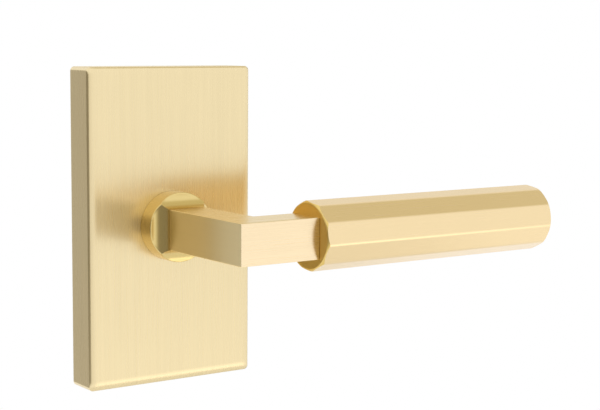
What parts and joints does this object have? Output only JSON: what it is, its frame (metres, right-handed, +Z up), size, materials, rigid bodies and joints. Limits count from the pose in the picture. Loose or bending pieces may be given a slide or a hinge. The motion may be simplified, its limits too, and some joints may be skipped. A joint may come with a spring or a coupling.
{
  "type": "lever handle half set",
  "caption": "Room-side passage lever set: rectangular rosette over a sprung cassette, square-bar lever with a coved round collar and faceted grip, square spindle and through-bolts.",
  "frame": {"origin": "where the lever's turning axis meets the door face", "axes": "+X along the lever, away from the door's edge; +Y into the door, square to its face; +Z up"},
  "size_m": [0.1628, 0.12, 0.1142],
  "materials": {
    "satin_brass": "fine-brushed satin brass, pale gold, clear lacquer",
    "zinc_plated_steel": "bright zinc plate",
    "bright_steel": "ground bright steel",
    "spring_steel": "dark drawn spring wire",
    "sintered_steel": "matte sintered steel",
    "black_steel": "black oxide",
    "nylon": "natural nylon"
  },
  "bodies": {
    "door_side": {"rosette": "satin_brass", "rosette_set_screw": "black_steel", "mounting_plate": "zinc_plated_steel", "spring_housing": "zinc_plated_steel", "housing_back_cover": "zinc_plated_steel", "housing_screw_left": "zinc_plated_steel", "housing_screw_right": "zinc_plated_steel", "stop_pin_rest": "bright_steel", "stop_pin_end": "bright_steel", "front_bush": "nylon", "rear_bush": "nylon", "return_spring": "spring_steel", "through_bolt_upper": "zinc_plated_steel", "through_bolt_lower": "zinc_plated_steel", "door_stud_upper": "zinc_plated_steel", "door_stud_lower": "zinc_plated_steel"},
    "lever": {"lever_stem": "satin_brass", "grip": "satin_brass", "grip_set_screw": "black_steel", "drive_hub": "sintered_steel", "spindle": "bright_steel", "spindle_set_screw": "black_steel", "wave_washer": "spring_steel", "retaining_ring": "black_steel"}
  },
  "joints": [
    {"name": "lever_turn", "type": "hinge", "parent": "door_side", "child": "lever", "pos_m": [0, 0, 0], "axis": [0, 1, 0], "range_deg": [0, 45], "stiffness_Nm_per_rad": 1.6, "springref_deg": -34.38, "deforming": ["return_spring"]}
  ]
}
